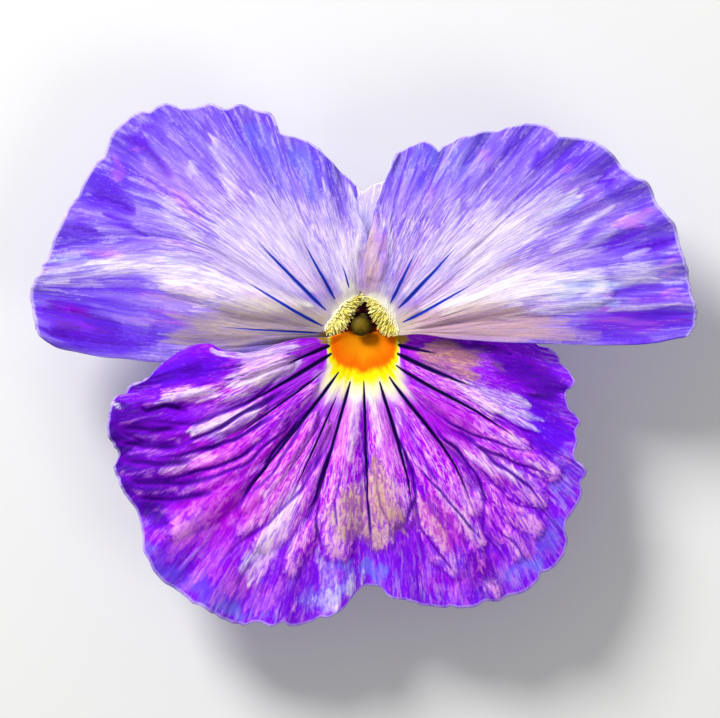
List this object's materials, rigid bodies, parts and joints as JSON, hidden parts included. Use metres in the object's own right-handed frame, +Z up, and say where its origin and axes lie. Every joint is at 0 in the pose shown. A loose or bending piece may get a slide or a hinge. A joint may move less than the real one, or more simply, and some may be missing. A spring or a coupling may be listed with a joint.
{
  "type": "pansy flower",
  "caption": "Single pansy bloom lying face up, with notched lower petal, two bearded side petals, two back petals, spur, sepals and short cut stalk.",
  "frame": {"origin": "on the table, under the middle of the bloom's outline", "axes": "+Z up out of the face, +Y towards the top of the bloom, +X to the viewer's right"},
  "size_m": [0.0667, 0.0523, 0.0123],
  "materials": {
    "side_petal": "velvety",
    "lower_petal": "velvety",
    "upper_petal": "velvety",
    "sepal": "matte leaf",
    "stalk": "satin stem",
    "pistil": "moist",
    "stamen": "matte"
  },
  "bodies": {
    "root": {"petal_lower": "lower_petal", "petal_side_left": "side_petal", "petal_side_right": "side_petal", "petal_upper_left": "upper_petal", "petal_upper_right": "upper_petal", "sepal_1": "sepal", "sepal_2": "sepal", "sepal_3": "sepal", "sepal_4": "sepal", "sepal_5": "sepal", "stalk": "stalk", "pistil": "pistil", "stamen_1": "stamen", "stamen_2": "stamen", "stamen_3": "stamen", "stamen_4": "stamen", "stamen_5": "stamen"}
  },
  "joints": []
}
